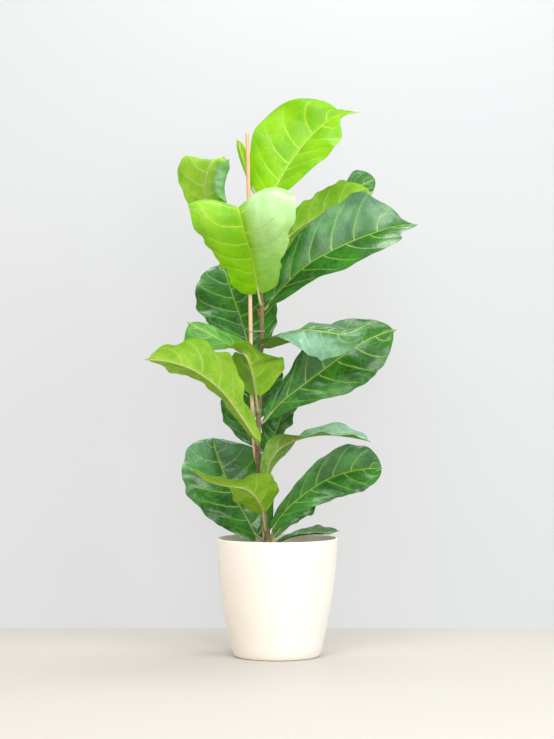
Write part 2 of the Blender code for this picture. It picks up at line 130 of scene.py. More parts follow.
def leaf(node_height, facing, half_width, midrib, **shape):
    """One leaf: where its stalk leaves the stem, the way it points, and the shape of its blade.

    facing is the compass angle in degrees that the blade's rise is measured against. roll, fold and curl
    are in degrees; they and left and right, which scale each half's width, run from base to tip.
    Left and right are as seen from the stalk, looking along the midrib with the upper side up.
    """
    row = {
        "outline": "fiddle", "roll": (0, 0), "fold": (15, 15), "fold_right": None,
        "curl": (0, 0), "curl_right": None, "left": (1.0,), "right": (1.0,), "sweep": 0.10,
        "wave": 0.004, "waves": 3.2, "phase": 0.0, "scallop": 0.02, "apex": 0.04, "apex_width": 0.13,
        "quilt": 1.0, "age": "mature",
    }
    row.update(shape)
    row.update(node_height=node_height, facing=facing, half_width=half_width, midrib=midrib)
    return row


# From the growing tip down to the soil.
LEAVES = (
    leaf(0.737, 60, 0.080,
         mm((-10, -20, 757), (18, 0, 808), (50, 14, 852), (84, 18, 884), (108, 18, 896), (136, 14, 898)),
         outline="round", roll=(-10, -5, 0, 0, 15, 50), fold=(15, 15, 20), fold_right=(5, 5), curl=(15, 15),
         left=(1.0, 1.02, 1.07, 1.10, 1.0, 0.7), right=(0.85, 0.85, 0.85, 0.95, 0.95, 0.9), sweep=0.02,
         wave=0.002, scallop=0.0, apex=0.16, apex_width=0.26, age="young"),
    leaf(0.748, 150, 0.010,
         mm((-42, 24, 772), (-55, 40, 816), (-67, 46, 857)),
         outline="narrow", roll=(80, 80), fold=(20, 20), wave=0.0, scallop=0.0, age="young"),
    leaf(0.690, 270, 0.068,
         mm((-94, 4, 698), (-107, -4, 722), (-117, -12, 754), (-116, -12, 788), (-106, -8, 815),
            (-87, 4, 824)),
         outline="waisted", fold=(0, 0), fold_right=(20, 30, 30), curl=(-100, -220, -250, -230, -150),
         curl_right=(20, 20), left=(1.0, 1.5, 1.55, 1.2, 0.6), right=(0.8, 0.9, 1.0, 0.95, 1.0, 1.4),
         sweep=0.04, apex=0.02, age="middle"),
    leaf(0.580, 95, 0.088,
         mm((-32, -22, 606), (-39, -60, 646), (-50, -98, 686), (-60, -110, 723), (-62, -84, 733),
            (-58, -50, 721)),
         fold=(14, 18, 14, 12), fold_right=(14, 18, 26, 38, 38), curl=(10, 0, -35, -40),
         curl_right=(10, 10, -20, -60, -60), left=(1.5, 1.22, 0.94, 0.93, 0.93),
         right=(1.4, 1.25, 1.18, 1.16, 1.1), scallop=0.03, age="young"),
    leaf(0.650, 10, 0.045,
         mm((-4, 30, 670), (38, 50, 708), (80, 60, 732), (122, 60, 754), (162, 60, 770)),
         outline="oval", roll=(-110, -110), fold=(10, 10), scallop=0.05, age="middle"),
    leaf(0.572, 0, 0.063,
         mm((-6, -9, 591), (46, -18, 641), (106, -20, 675), (166, -10, 699), (196, 0, 708), (232, 0, 711)),
         outline="oval", roll=(60, 65, 60), fold=(20, 20, 30), curl=(20, 20),
         left=(1.0, 1.0, 1.0, 1.0, 1.05, 1.12, 1.25, 0.95, 0.3),
         right=(1.0, 1.0, 1.0, 1.0, 1.0, 1.0, 1.0, 1.0, 2.2), sweep=0.06, apex=0.10, apex_width=0.42),
    leaf(0.686, 30, 0.035,
         mm((-16, 60, 700), (34, 108, 722), (98, 124, 764), (168, 130, 798)),
         roll=(60, 60), fold=(10, 10), left=(0.2, 0.2, 0.2, 0.2, 0.2, 0.2, 0.25, 0.95, 1.2), apex=0.01),
    leaf(0.494, 110, 0.080,
         mm((-45, 18, 502), (-58, 42, 550), (-74, 56, 596), (-86, 66, 632), (-96, 76, 652)),
         outline="round", fold=(15, 10, 15), curl=(15, 15), left=(1.0, 1.0, 1.05), right=(0.85,), sweep=0.04),
    leaf(0.512, -10, 0.043,
         mm((-19, -12, 516), (10, -30, 532), (37, -42, 537), (73, -50, 535), (105, -50, 530),
            (128, -50, 536), (153, -44, 548)),
         outline="round", roll=(-50, -20, 50, 55, 50, 45), fold=(-28, -28), left=(0.7,),
         right=(1.1, 0.8, 0.8, 1.2, 0.8, 0.7), sweep=0.0),
    leaf(0.384, 0, 0.060,
         mm((-10, 0, 400), (14, 0, 424), (80, 0, 474), (130, 10, 510), (170, 20, 530), (200, 30, 539)),
         outline="oval", roll=(75, 85, 85), fold=(10, 10), sweep=0.05, left=(0.75, 0.8, 1.05, 0.8, 0.5),
         right=(0.7, 0.85, 1.05, 1.0, 0.9)),
    leaf(0.403, 180, 0.070,
         mm((-35, -22, 434), (-41, -46, 468), (-49, -62, 494), (-68, -52, 507), (-106, -36, 528),
            (-147, -26, 550)),
         roll=(90, 90, 90, 45, -25, -35, -35, -35, -35), fold=(18, 18, 12, -5, -10),
         fold_right=(40, 40, 25, 10, 10), left=(1.9, 2.2, 2.0, 0.6, 0.65, 0.75, 0.85, 0.9, 0.9),
         right=(1.4, 1.4, 1.5, 1.2, 0.5, 0.32, 0.3, 0.3, 0.3), scallop=0.03, age="middle"),
    leaf(0.348, 190, 0.048,
         mm((-36, -32, 362), (-62, -52, 402), (-90, -74, 438), (-130, -98, 469), (-172, -110, 484),
            (-213, -112, 488)),
         outline="round", roll=(60, 55, 55, 50), fold=(35, 35), left=(0.6, 0.5, 1.1, 1.0, 0.8),
         right=(0.6, 0.6, 0.5, 1.0, 1.0), sweep=0.05, wave=0.006, scallop=0.08, age="middle"),
    leaf(0.326, 120, 0.048,
         mm((-20, 26, 338), (-48, 42, 366), (-66, 56, 406), (-70, 66, 444)),
         outline="round", left=(0.85,), right=(0.5,)),
    leaf(0.332, 50, 0.038,
         mm((-16, 16, 342), (-2, 32, 369), (10, 42, 402), (20, 48, 436)),
         outline="round", left=(0.85,)),
    leaf(0.370, 90, 0.044,
         mm((-30, 70, 394), (-30, 96, 416), (-31, 116, 448), (-32, 124, 484))),
    leaf(0.283, -10, 0.038,
         mm((-20, -18, 293), (-12, -24, 320), (6, -30, 344), (38, -40, 360), (78, -42, 366),
            (118, -50, 362), (152, -60, 355)),
         outline="narrow", roll=(-60, -60, 15, 8, 8), left=(1.0, 1.0, 0.8, 1.1, 1.1),
         right=(1.2, 1.2, 0.8, 1.3, 1.3)),
    leaf(0.188, 105, 0.075,
         mm((-36, 22, 198), (-51, 34, 226), (-72, 47, 261), (-89, 60, 299), (-103, 76, 334), (-108, 90, 356)),
         outline="round", fold=(10, 10), left=(1.0, 1.0, 1.08, 1.1), sweep=0.05, apex=0.01),
    leaf(0.207, 180, 0.045,
         mm((-24, -22, 241), (-33, -50, 262), (-52, -68, 280), (-88, -80, 286), (-116, -72, 294),
            (-140, -60, 311)),
         outline="round", roll=(90, 75, 10, 5, 5), fold=(20, 20), left=(1.4, 1.3, 0.6, 0.5, 0.6),
         right=(1.2, 1.1, 1.0), scallop=0.05, age="middle"),
    leaf(0.195, 10, 0.045,
         mm((-4, -10, 216), (14, -10, 240), (46, -9, 268), (88, 0, 293), (130, 10, 305), (174, 20, 309)),
         outline="oval", roll=(70, 75, 75), fold=(25, 25), left=(0.6, 0.65, 0.85, 1.05, 1.15), apex=0.01),
    leaf(0.186, 35, 0.026,
         mm((-4, 20, 196), (14, 46, 216), (36, 66, 236), (62, 80, 254)),
         roll=(40, 40)),
    leaf(0.182, 0, 0.028,
         mm((2, 10, 187), (24, 10, 196), (54, 18, 200), (84, 26, 199), (104, 28, 204)),
         roll=(10, 10), wave=0.0015),
)


# Painted sheen on the upper side, a pale tint standing in for highlights, by leaf number: left half then right
# half, each from base to tip.
PAINTED_SHEEN = {
    3: ((0.3, 0.4, 0.5), (0.0,)),
    4: ((0.0, 0.0, 0.0, 0.06, 0.25), (0.15, 0.38, 0.62, 0.88, 1.05)),
    6: ((0.03, 0.06, 0.10, 0.26, 0.40, 0.0), (0.0, 0.0, 0.0, 0.0, 0.25)),
    8: ((0.0, 0.0, 0.0, 0.05, 0.25), (0.0, 0.0, 0.05, 0.2, 0.2)),
    9: ((0.0, 0.05, 0.1, 0.15, 0.1), (0.0, 0.3, 1.2, 0.8, 0.2, 0.0)),
    10: ((0.0, 0.0, 0.0, 0.35, 0.05, 0.0), (0.0,)),
    16: ((0.0, 0.0, 0.1, 0.5, 0.8, 0.6), (0.0, 0.0, 0.1, 0.5, 0.8, 0.6)),
    17: ((0.0, 0.0, 0.0, 0.03, 0.35, 0.7), (0.0, 0.0, 0.0, 0.05, 0.4, 0.5)),
    19: ((0.0, 0.0, 0.05, 0.15, 0.1), (0.05, 0.05, 0.0)),
}


# ---------------------------------------------------------------- shape helpers


def unit(vectors):
    """Scale vectors to length one."""
    return vectors / np.maximum(np.linalg.norm(vectors, axis=-1, keepdims=True), 1e-12)


def smooth_path(points, count):
    """A smooth path through the points, evenly spaced along its length, and that length."""
    p = np.asarray(points, float)
    p = np.vstack([2 * p[0] - p[1], p, 2 * p[-1] - p[-2]])
    u = np.linspace(0, 1, CURVE_STEPS, endpoint=False)[:, None]
    pieces = []
    for i in range(1, len(p) - 2):
        a, b, c, d = p[i - 1:i + 3]
        pieces.append(0.5 * (2 * b + (c - a) * u + (2 * a - 5 * b + 4 * c - d) * u**2
                             + (3 * b - a - 3 * c + d) * u**3))
    path = np.vstack(pieces + [p[-2][None]])
    run = np.concatenate([[0], np.cumsum(np.linalg.norm(np.diff(path, axis=0), axis=1))])
    even = np.linspace(0, run[-1], count)
    return np.stack([np.interp(even, run, path[:, k]) for k in range(path.shape[1])], 1), run[-1]


def along(values, where):
    """Read values spaced evenly from base to tip at fractions of the blade's length."""
    return np.interp(where, np.linspace(0, 1, len(values)), values)


def ease(low, high, x):
    """0 below low, 1 above high, smooth between."""
    s = np.clip((x - low) / (high - low), 0, 1)
    return s * s * (3 - 2 * s)


def half_width(row, t):
    """The blade's half-width as a fraction of its greatest half-width."""
    s = np.clip(t / (1 - row["apex"]), 0, 1)
    body = 2 * np.sqrt(s * (1 - s)) * np.interp(s, OUTLINE_STATIONS, OUTLINES[row["outline"]])
    drip_tip = row["apex_width"] * np.clip((1 - t) / (2 * row["apex"]), 0, 1) * (t > 0.5)
    return np.maximum(np.maximum(body, drip_tip), LEAST_HALF_WIDTH / row["half_width"])


def blade(row, rows, columns):
    """The blade's middle surface as a grid, with each point's place along and across the blade."""
    path, length = smooth_path(row["midrib"], count=160)
    tangents = unit(np.gradient(path, axis=0))
    v = columns[None, :] + 0 * rows[:, None]
    t = rows[:, None] + 0 * v
    forward = row["sweep"] * np.sin(np.pi * t) - 0.055 * np.clip(1 - t / 0.14, 0, 1)
    at = t + forward * np.abs(v) ** 1.3
    step = np.clip(at, 0, 1) * (len(path) - 1)
    low = np.minimum(step.astype(int), len(path) - 2)
    part = (step - low)[..., None]
    tangent = unit(tangents[low] * (1 - part) + tangents[low + 1] * part)
    beyond = (at - np.clip(at, 0, 1)) * length
    centre = path[low] * (1 - part) + path[low + 1] * part + tangent * beyond[..., None]
    heading = math.radians(row["facing"])
    side = np.array([-math.sin(heading), math.cos(heading), 0.0])
    side = unit(side - (tangent @ side)[..., None] * tangent)
    upper = np.cross(tangent, side)
    roll = np.radians(along(row["roll"], at))[..., None]
    side, upper = np.cos(roll) * side + np.sin(roll) * upper, np.cos(roll) * upper - np.sin(roll) * side
    is_left = v >= 0
    fold = np.radians(np.where(is_left, along(row["fold"], at), along(row["fold_right"] or row["fold"], at)))
    curl = np.radians(np.where(is_left, along(row["curl"], at), along(row["curl_right"] or row["curl"], at)))
    widest = row["half_width"]
    sides = np.where(is_left, along(row["left"], at), along(row["right"], at))
    reach = widest * sides * half_width(row, t) * np.abs(v)
    notch = np.sin(2 * np.pi * 5.3 * at + row["phase"] + 3 * is_left)
    notch += 0.6 * np.sin(2 * np.pi * 9.1 * at + 1.7 * is_left)
    reach = reach * (1 + row["scallop"] * notch * np.abs(v) ** 4)
    across = np.zeros_like(reach)
    lift = np.zeros_like(reach)
    for k in range(BEND_STEPS):
        angle = fold + curl * (reach / widest * (k + 0.5) / BEND_STEPS) ** 2
        across += np.cos(angle) * reach / BEND_STEPS
        lift += np.sin(angle) * reach / BEND_STEPS
    ripple = np.sin(2 * np.pi * row["waves"] * at + row["phase"] + np.where(is_left, 0.0, 1.9))
    lift += row["wave"] * np.clip(reach / widest, 0, 1) ** 2 * ripple
    vein = (at - VEIN_SWEEP * np.abs(v) ** 1.6 * (1 - 0.35 * t)) / VEIN_SPACING + np.where(is_left, 0.0, 0.38)
    swell = np.abs(np.sin(np.pi * vein)) ** 0.7 - 0.55
    swell = swell * ease(0.0, 0.22, np.abs(v)) * (1 - 0.75 * np.abs(v) ** 3) * (vein > 0)
    arch = np.sin(np.pi * np.abs(v)) * np.abs(v) ** 0.5 * reach.max(axis=1, keepdims=True)
    lift += row["quilt"] * (QUILT * swell + CROWN * arch)
    lift -= GROOVE_DEPTH * np.exp(-(reach / GROOVE_WIDTH) ** 2) * ease(1.0, 0.5, t)
    points = centre + side * (np.sign(v) * across)[..., None] + upper * lift[..., None]
    return points, vein, reach * np.sign(v), at * length, v


def new_object(name, points, faces, materials, face_materials=None, sharp=None):
    """A mesh object with smooth shading."""
    mesh = bpy.data.meshes.new(name)
    mesh.from_pydata([tuple(p) for p in points], [], faces)
    for mat in materials:
        mesh.materials.append(mat)
    if face_materials is not None:
        mesh.polygons.foreach_set("material_index", face_materials)
    mesh.shade_smooth()
    if sharp is not None:
        mesh.set_sharp_from_angle(angle=math.radians(sharp))
    obj = bpy.data.objects.new(name, mesh)
    bpy.context.scene.collection.objects.link(obj)
    return obj


def set_vectors(obj, name, values):
    """Store a vector for each vertex."""
    layer = obj.data.attributes.new(name, "FLOAT_VECTOR", "POINT")
    layer.data.foreach_set("vector", np.asarray(values, np.float32).ravel())


def grid_faces(rows, columns, start=0, flip=False, wrap=False):
    """Quads over a grid of vertices; wrap joins the last column to the first."""
    faces = []
    for i in range(rows - 1):
        for j in range(columns if wrap else columns - 1):
            k = (j + 1) % columns
            quad = (start + i * columns + j, start + (i + 1) * columns + j,
                    start + (i + 1) * columns + k, start + i * columns + k)
            faces.append(quad[::-1] if flip else quad)
    return faces


def sheet(points, half):
    """A thin closed sheet about a grid: vertices, the grid's normals, the upper faces and the other faces."""
    normal = unit(np.cross(np.gradient(points, axis=0), np.gradient(points, axis=1)))
    verts = np.vstack([(points + normal * half).reshape(-1, 3), (points - normal * half).reshape(-1, 3)])
    rows, columns = points.shape[:2]
    count = rows * columns
    edge = list(range(columns))
    edge += [i * columns + columns - 1 for i in range(1, rows)]
    edge += [(rows - 1) * columns + j for j in range(columns - 2, -1, -1)]
    edge += [i * columns for i in range(rows - 2, 0, -1)]
    rest = grid_faces(rows, columns, start=count, flip=True)
    rest += [(a, b, b + count, a + count) for a, b in zip(edge, edge[1:] + edge[:1])]
    return verts, normal, grid_faces(rows, columns), rest


def circle(radius, height, steps):
    """Points evenly round a level circle."""
    angles = [2 * math.pi * j / steps for j in range(steps)]
    return [(radius * math.cos(angle), radius * math.sin(angle), height) for angle in angles]


def closed_faces(rings, sides, flip=False):
    """Faces of a closed skin over a run of rings; its first and last points are the last two vertices."""
    first, last = rings * sides, rings * sides + 1
    faces = grid_faces(rings, sides, flip=flip, wrap=True)
    end = (rings - 1) * sides
    for j in range(sides):
        a, b = j, (j + 1) % sides
        if flip:
            a, b = b, a
        faces += [(first, a, b), (last, end + b, end + a)]
    return faces


def tube(points, radii, sides):
    """Vertices and faces of a closed round tube with rounded ends."""
    points = np.asarray(points, float)
    tangents = unit(np.gradient(points, axis=0))
    across = np.cross(tangents[0], (0.3, 0.9, 0.1))
    rings = []
    for point, tangent, radius in zip(points, tangents, radii):
        across = unit(across - tangent * (across @ tangent))
        other = np.cross(tangent, across)
        angles = np.linspace(0, 2 * np.pi, sides, endpoint=False)[:, None]
        rings.append(point + radius * (np.cos(angles) * across + np.sin(angles) * other))
    verts = np.vstack(rings + [points[:1], points[-1:]])
    return verts, closed_faces(len(points), sides, flip=True)


def turned(name, profile, mat, steps, sharp):
    """A solid of revolution from a profile of (radius, height) points that starts and ends on the axis."""
    angles = np.linspace(0, 2 * np.pi, steps, endpoint=False)
    inner = np.asarray(profile[1:-1], float)
    ring = np.stack([np.outer(inner[:, 0], np.cos(angles)), np.outer(inner[:, 0], np.sin(angles)),
                     np.repeat(inner[:, 1:], steps, 1)], -1).reshape(-1, 3)
    verts = np.vstack([ring, [(0, 0, profile[0][1])], [(0, 0, profile[-1][1])]])
    return new_object(name, verts, closed_faces(len(inner), steps), [mat], sharp=sharp)


# ---------------------------------------------------------------- material helpers


class Graph:
    """A node material under construction."""

    def __init__(self, name):
        self.material = bpy.data.materials.new(name)
        self.material.use_nodes = True
        self.tree = self.material.node_tree
        self.tree.nodes.clear()

    def add(self, kind, inputs=(), **settings):
        """Add a node; each input is a value or another node's socket."""
        node = self.tree.nodes.new("ShaderNode" + kind)
        for key, value in settings.items():
            setattr(node, key, value)
        for key, value in dict(inputs).items():
            socket = node.inputs[key]
            if isinstance(value, bpy.types.NodeSocket):
                self.tree.links.new(value, socket)
            else:
                socket.default_value = value
        return node

    def math(self, operation, a, b=0.0, c=0.0):
        """A math node's result."""
        return self.add("Math", {0: a, 1: b, 2: c}, operation=operation).outputs[0]

    def step(self, value, low, high):
        """0 where value is at low, 1 where it is at high, smooth between."""
        inputs = {"Value": value, "From Min": low, "From Max": high}
        return self.add("MapRange", inputs, interpolation_type="SMOOTHSTEP").outputs["Result"]

    def mix(self, factor, a, b):
        """A mix of two colours."""
        node = self.add("Mix", data_type="RGBA")
        for index, value in ((0, factor), (6, a), (7, b)):
            if isinstance(value, bpy.types.NodeSocket):
                self.tree.links.new(value, node.inputs[index])
            else:
                node.inputs[index].default_value = value if index == 0 else (*value, 1.0)
        return node.outputs[2]

    def noise(self, vector, scale, detail=3.0, roughness=0.5):
        """A noise texture's factor."""
        inputs = {"Vector": vector, "Scale": scale, "Detail": detail, "Roughness": roughness}
        return self.add("TexNoise", inputs).outputs["Fac"]

    def bump(self, height, distance, strength):
        """A bumped normal."""
        inputs = {"Height": height, "Distance": distance, "Strength": strength}
        return self.add("Bump", inputs).outputs["Normal"]

    def here(self):
        """The place in the object's own space."""
        return self.add("TexCoord").outputs["Object"]

    def stretch(self, vector, scale):
        """A vector scaled along each axis."""
        return self.add("Mapping", {"Vector": vector, "Scale": scale}).outputs[0]

    def attribute(self, name):
        """A vector stored on the mesh."""
        return self.add("Attribute", attribute_name=name).outputs["Vector"]

    def split(self, vector):
        """A vector's three components."""
        return self.add("SeparateXYZ", {0: vector}).outputs

    def finish(self, shader):
        """Link the shader to the output."""
        output = self.add("OutputMaterial")
        self.tree.links.new(shader, output.inputs["Surface"])
        return self.material

    def surface(self, colour, rough, normal, **more):
        """Finish as one opaque surface."""
        inputs = {"Base Color": colour, "Roughness": rough, "Normal": normal, **more}
        return self.finish(self.add("BsdfPrincipled", inputs).outputs[0])


# Looks by leaf age. Upper and under hold the tissue's dark and light colours, the halo beside veins and the
# vein. Share is how much light passes through the upper and the under side, in the colour called through.
# The sheen colour is painted over the upper side where highlights stand; patchy is how much that painted sheen
# varies and its least strength.
LEAF_COLOURS = {
    "mature": {
        "upper": ((0.006, 0.080, 0.004), (0.030, 0.205, 0.007), (0.065, 0.265, 0.016), (0.44, 0.58, 0.16)),
        "under": ((0.110, 0.270, 0.030), (0.190, 0.380, 0.050), (0.240, 0.430, 0.070), (0.52, 0.60, 0.20)),
        "through": (0.20, 0.50, 0.02), "share": (0.10, 0.18), "rough": 0.24, "specular": 0.42,
        "painted_sheen": (0.34, 0.62, 0.45), "patchy": (0.32, 0.42),
    },
    "middle": {
        "upper": ((0.040, 0.200, 0.010), (0.090, 0.330, 0.018), (0.140, 0.400, 0.035), (0.55, 0.64, 0.20)),
        "under": ((0.190, 0.440, 0.010), (0.330, 0.590, 0.030), (0.380, 0.640, 0.050), (0.66, 0.70, 0.24)),
        "through": (0.48, 0.90, 0.02), "share": (0.25, 0.32), "rough": 0.32, "specular": 0.30,
        "painted_sheen": (0.50, 0.74, 0.50), "patchy": (0.45, 0.45),
    },
    "young": {
        "upper": ((0.170, 0.410, 0.001), (0.305, 0.560, 0.001), (0.345, 0.600, 0.003), (0.80, 0.92, 0.20)),
        "under": ((0.250, 0.500, 0.003), (0.370, 0.630, 0.008), (0.450, 0.700, 0.020), (0.72, 0.80, 0.20)),
        "through": (0.55, 0.98, 0.01), "share": (0.40, 0.38), "rough": 0.34, "specular": 0.22,
        "painted_sheen": (0.74, 0.98, 0.58), "patchy": (0.40, 0.75),
    },
}


def leaf_material(age, side):
    """Waxy leaf tissue with a midrib, swept lateral veins and a fine net between them."""
    colours = LEAF_COLOURS[age]
    dark, light, halo, vein_colour = colours[side]
    upper = side == "upper"
    g = Graph("leaf_%s_%s" % (age, side))
    index, across, edge = g.split(g.attribute("vein"))
    place = g.attribute("place")
    wander = g.math("MULTIPLY", g.math("SUBTRACT", g.noise(place, 60.0, 2.0), 0.5), 0.16)
    wavy = g.math("ADD", index, wander)
    offset = g.math("ABSOLUTE", g.math("SUBTRACT", g.math("FRACT", g.math("ADD", wavy, 0.5)), 0.5))
    width = g.math("MULTIPLY_ADD", edge, -0.022, 0.038)
    lateral = g.step(g.math("DIVIDE", offset, width), 1.0, 0.3)
    halo_near = g.step(offset, 0.16, 0.01)
    started = g.step(index, 0.35, 0.6)
    faded = g.step(edge, 1.0, 0.8)
    lateral = g.math("MULTIPLY", g.math("MULTIPLY", lateral, started), faded)
    halo_near = g.math("MULTIPLY", halo_near, faded)
    midrib = g.step(g.math("ABSOLUTE", across), 1.5, 0.6)
    near_rib = g.step(g.math("ABSOLUTE", across), 7.0, 1.0)
    big_cells = {"Vector": place, "Scale": 100.0, "Randomness": 0.9}
    big_net = g.add("TexVoronoi", big_cells, feature="DISTANCE_TO_EDGE")
    small_net = g.add("TexVoronoi", {"Vector": place, "Scale": 380.0}, feature="DISTANCE_TO_EDGE")
    net = g.step(big_net.outputs["Distance"], 0.06, 0.01)
    fine = g.step(small_net.outputs["Distance"], 0.12, 0.02)
    veins = g.math("MAXIMUM", midrib, lateral)
    cloud = g.noise(place, 24.0, 4.0, 0.6)
    tissue = g.mix(g.step(cloud, 0.32, 0.70), dark, light)
    tissue = g.mix(g.math("MULTIPLY", g.math("MAXIMUM", halo_near, near_rib), 0.55), tissue, halo)
    tissue = g.mix(g.math("MULTIPLY", net, 0.09 if upper else 0.25), tissue, vein_colour)
    tissue = g.mix(g.math("MULTIPLY", fine, 0.02 if upper else 0.07), tissue, vein_colour)
    colour = g.mix(g.math("MULTIPLY", veins, 0.78 if upper else 0.9), tissue, vein_colour)
    colour = g.mix(g.math("MULTIPLY", g.step(edge, 0.975, 0.998), 0.5), colour, tuple(0.6 * c for c in dark))
    if upper:
        # Painted sheen: a pale tint laid over the upper side where highlights stand, patchy and weaker on the
        # veins.
        sheen_amount = g.split(g.attribute("painted_sheen"))[0]
        varied = g.step(g.noise(place, 48.0, 4.0, 0.6), 0.30, 0.70)
        patchy = g.math("MULTIPLY_ADD", varied, *colours["patchy"])
        sheen_amount = g.math("MULTIPLY", sheen_amount, g.math("MULTIPLY", patchy, g.math("MULTIPLY_ADD", veins, -0.5, 1.0)))
        colour = g.mix(g.math("MINIMUM", sheen_amount, 0.92), colour, colours["painted_sheen"])
    mottled = g.noise(place, 320.0, 2.0)
    rough = g.math("MULTIPLY_ADD", mottled, 0.16, colours["rough"] - 0.08 + (0.0 if upper else 0.20))
    rough = g.math("ADD", rough, g.math("MULTIPLY", veins, 0.08))
    if upper:
        height = g.math("MULTIPLY", veins, -0.7)
        height = g.math("MULTIPLY_ADD", net, -0.30, height)
        height = g.math("MULTIPLY_ADD", fine, -0.05, height)
    else:
        height = g.math("MULTIPLY_ADD", net, 0.35, veins)
        height = g.math("MULTIPLY_ADD", fine, 0.08, height)
    height = g.math("MULTIPLY_ADD", mottled, 0.06, height)
    normal = g.bump(height, 0.0006, 0.9)
    principled = g.add("BsdfPrincipled", {"Base Color": colour, "Roughness": rough, "Normal": normal,
                                          "Specular IOR Level": colours["specular"] * (1.0 if upper else 0.7),
                                          "Coat Weight": 0.5 * colours["specular"] if upper else 0.0,
                                          "Coat Roughness": 0.12, "Coat IOR": 1.4})
    through = g.mix(g.math("MULTIPLY", g.math("MAXIMUM", veins, g.math("MULTIPLY", net, 0.4)), 0.7),
                    colours["through"], tuple(0.35 * c for c in colours["through"]))
    translucent = g.add("BsdfTranslucent", {"Color": through, "Normal": normal})
    share = colours["share"][0 if upper else 1]
    mixed = g.add("MixShader", {0: share, 1: principled.outputs[0], 2: translucent.outputs[0]})
    return g.finish(mixed.outputs[0])


def rib_material(age):
    """The stalk and raised midrib: pale green, browner towards the stem."""
    pale = {"mature": (0.36, 0.42, 0.14), "middle": (0.46, 0.52, 0.18), "young": (0.55, 0.68, 0.20)}[age]
    g = Graph("rib_" + age)
    place = g.attribute("place")
    near_stem = g.split(g.attribute("vein"))[0]
    streak = g.noise(place, 500.0, 3.0)
    colour = g.mix(g.step(streak, 0.35, 0.7), pale, tuple(0.65 * c for c in pale))
    colour = g.mix(g.math("MULTIPLY", near_stem, 0.75), colour, (0.20, 0.13, 0.05))
    rough = g.math("MULTIPLY_ADD", streak, 0.2, 0.38)
    return g.surface(colour, rough, g.bump(streak, 0.0003, 0.5))


def bark_material():
    """Young woody stem: olive brown with long streaks, leaf-scar rings and pale pores."""
    g = Graph("stem_bark")
    place = g.here()
    streak = g.noise(g.stretch(place, (1.0, 1.0, 0.12)), 700.0, 5.0, 0.65)
    patch = g.noise(place, 26.0, 4.0, 0.6)
    band = g.noise(g.stretch(place, (0.25, 0.25, 1.0)), 260.0, 3.0, 0.6)
    colour = g.mix(g.step(streak, 0.3, 0.72), (0.095, 0.050, 0.022), (0.30, 0.215, 0.115))
    colour = g.mix(g.step(patch, 0.45, 0.68), colour, (0.17, 0.19, 0.065))
    colour = g.mix(g.math("MULTIPLY", g.step(band, 0.62, 0.75), 0.5), colour, (0.42, 0.34, 0.22))
    pores = g.add("TexVoronoi", {"Vector": place, "Scale": 420.0}).outputs["Distance"]
    pore = g.step(pores, 0.20, 0.10)
    colour = g.mix(g.math("MULTIPLY", pore, 0.6), colour, (0.48, 0.40, 0.28))
    height = g.math("MULTIPLY_ADD", pore, 0.6, g.math("MULTIPLY_ADD", band, 0.5, streak))
    rough = g.math("MULTIPLY_ADD", streak, 0.25, 0.55)
    return g.surface(colour, rough, g.bump(height, 0.0007, 0.8))


def cane_material():
    """Peeled round wood, warm tan, with long grain and a few darker joints."""
    g = Graph("cane_wood")
    place = g.here()
    grain = g.noise(g.stretch(place, (1.0, 1.0, 0.05)), 900.0, 5.0, 0.6)
    slow = g.noise(place, 14.0, 3.0)
    height_up = g.split(place)[2]
    colour = g.mix(g.step(grain, 0.3, 0.7), (0.78, 0.50, 0.29), (0.92, 0.70, 0.47))
    colour = g.mix(g.math("MULTIPLY", g.step(height_up, 0.62, 0.72), 0.75), colour, (0.72, 0.34, 0.17))
    colour = g.mix(g.math("MULTIPLY", g.step(slow, 0.45, 0.65), 0.4), colour, (0.74, 0.42, 0.20))
    rough = g.math("MULTIPLY_ADD", grain, 0.2, 0.45)
    return g.surface(colour, rough, g.bump(grain, 0.0003, 0.6))


def pot_material():
    """Cream moulded plastic with a satin, very finely grained skin."""
    g = Graph("pot_plastic")
    place = g.here()
    height_up = g.split(place)[2]
    cloud = g.noise(place, 9.0, 4.0, 0.55)
    grain = g.noise(place, 1600.0, 2.0)
    flow = g.noise(g.stretch(place, (1.0, 1.0, 0.15)), 40.0, 3.0)
    colour = g.mix(g.step(cloud, 0.3, 0.7), (0.90, 0.84, 0.745), (0.94, 0.895, 0.82))
    # Browner in patches towards the foot.
    browner_near_foot = g.math("MULTIPLY", g.step(height_up, 0.020, 0.0), g.step(cloud, 0.35, 0.65))
    colour = g.mix(g.math("MULTIPLY", browner_near_foot, 0.25), colour, (0.66, 0.56, 0.45))
    rough = g.math("ADD", g.math("MULTIPLY_ADD", flow, 0.10, 0.32), g.math("MULTIPLY", grain, 0.06))
    height = g.math("MULTIPLY_ADD", flow, 0.4, grain)
    depth = {"Subsurface Weight": 0.3, "Subsurface Scale": 0.008, "Subsurface Radius": (1.0, 0.85, 0.7)}
    return g.surface(colour, rough, g.bump(height, 0.00008, 0.6), IOR=1.48, **depth)


def soil_material():
    """Dark potting mix with lighter fibres and specks."""
    g = Graph("soil_mix")
    place = g.here()
    grit = g.noise(place, 240.0, 6.0, 0.7)
    clump = g.noise(place, 60.0, 4.0, 0.6)
    speck = g.add("TexVoronoi", {"Vector": place, "Scale": 330.0}).outputs["Distance"]
    colour = g.mix(g.step(grit, 0.35, 0.68), (0.012, 0.007, 0.004), (0.075, 0.042, 0.022))
    colour = g.mix(g.math("MULTIPLY", g.step(clump, 0.5, 0.7), 0.6), colour, (0.11, 0.065, 0.035))
    colour = g.mix(g.math("MULTIPLY", g.step(speck, 0.16, 0.08), 0.7), colour, (0.34, 0.28, 0.20))
    height = g.math("ADD", grit, clump)
    rough = g.math("MULTIPLY_ADD", grit, 0.2, 0.75)
    return g.surface(colour, rough, g.bump(height, 0.002, 0.9))


